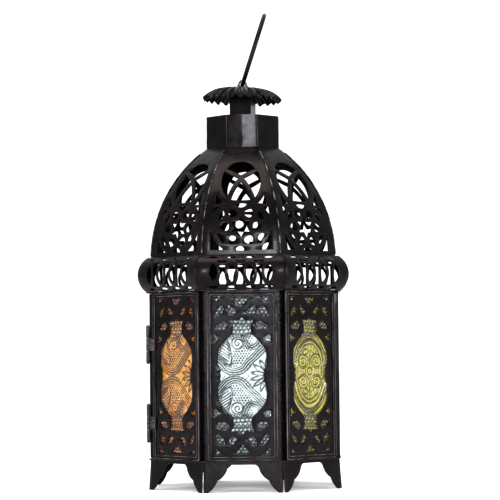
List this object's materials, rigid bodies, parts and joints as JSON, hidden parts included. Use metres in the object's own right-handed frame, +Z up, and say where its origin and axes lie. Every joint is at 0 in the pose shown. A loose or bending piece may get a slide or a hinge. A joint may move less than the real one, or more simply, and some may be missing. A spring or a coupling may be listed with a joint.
{
  "type": "moroccan metal lantern",
  "caption": "Octagonal pierced-metal candle lantern with embossed coloured glass panes, a domed fretwork top, a fluted cap, a carrying ring and a hinged glazed door.",
  "frame": {"origin": "centre of the footprint, on the plane that the feet stand on", "axes": "+Z up along the lantern's axis; -Y out of the clear front face; +X to the right seen from the front; the door is on the -X face"},
  "size_m": [0.1578, 0.1578, 0.3606],
  "materials": {
    "black_paint": "glossy black paint over thin pressed steel, slightly uneven",
    "black_wire": "satin black paint over bent steel wire and strip",
    "hinge_steel": "thin black paint, worn to grey steel at the knuckles",
    "glass_clear": "clear pressed glass with a faint aqua tint and raised scrolls",
    "glass_green": "yellow-green pressed glass with raised scrolls and dots",
    "glass_red": "red pressed glass with raised scrolls",
    "glass_amber": "amber pressed glass with raised scrolls"
  },
  "bodies": {
    "lantern": {"foot_skirt": "black_paint", "base_plate": "black_paint", "candle_cup": "black_paint", "corner_posts": "black_paint", "body_top_ring": "black_paint", "dome_base_ring": "black_paint", "neck_collar": "black_paint", "vent_plate": "black_paint", "chimney_post": "black_paint", "chimney_cap": "black_paint", "handle_eye": "black_wire", "hinge_straps": "hinge_steel", "hinge_pins": "hinge_steel", "latch_peg": "black_wire", "glass_tabs": "black_paint", "collar_front": "black_paint", "dome_front": "black_paint", "frame_front": "black_paint", "fret_front": "black_paint", "glass_front": "glass_clear", "collar_front_right": "black_paint", "dome_front_right": "black_paint", "frame_front_right": "black_paint", "fret_front_right": "black_paint", "glass_front_right": "glass_green", "collar_right": "black_paint", "dome_right": "black_paint", "frame_right": "black_paint", "fret_right": "black_paint", "glass_right": "glass_red", "collar_rear_right": "black_paint", "dome_rear_right": "black_paint", "frame_rear_right": "black_paint", "fret_rear_right": "black_paint", "glass_rear_right": "glass_amber", "collar_rear": "black_paint", "dome_rear": "black_paint", "frame_rear": "black_paint", "fret_rear": "black_paint", "glass_rear": "glass_clear", "collar_rear_left": "black_paint", "dome_rear_left": "black_paint", "frame_rear_left": "black_paint", "fret_rear_left": "black_paint", "glass_rear_left": "glass_green", "collar_left": "black_paint", "dome_left": "black_paint", "collar_front_left": "black_paint", "dome_front_left": "black_paint", "frame_front_left": "black_paint", "fret_front_left": "black_paint", "glass_front_left": "glass_amber"},
    "door": {"door_frame": "black_paint", "door_fret": "black_paint", "door_glass": "glass_red", "door_glass_tabs": "black_paint", "hinge_leaves": "hinge_steel", "latch_pivot": "black_wire"},
    "latch": {"latch_hook": "black_wire"},
    "carrying_ring": {"ring_handle": "black_wire"}
  },
  "joints": [
    {"name": "door_hinge", "type": "hinge", "parent": "lantern", "child": "door", "pos_m": [-0.0716, -0.02966, 0.0787], "axis": [0, 0, 1], "range_deg": [0, 120]},
    {"name": "latch_pivot_turn", "type": "hinge", "parent": "door", "child": "latch", "pos_m": [-0.071, 0.02415, 0.0847], "axis": [1, 0, 0], "range_deg": [0, 95]},
    {"name": "ring_swing", "type": "hinge", "parent": "lantern", "child": "carrying_ring", "pos_m": [0, 0, 0.306], "axis": [-0.0767, 0.9971, 0], "range_deg": [-106, 70]}
  ]
}
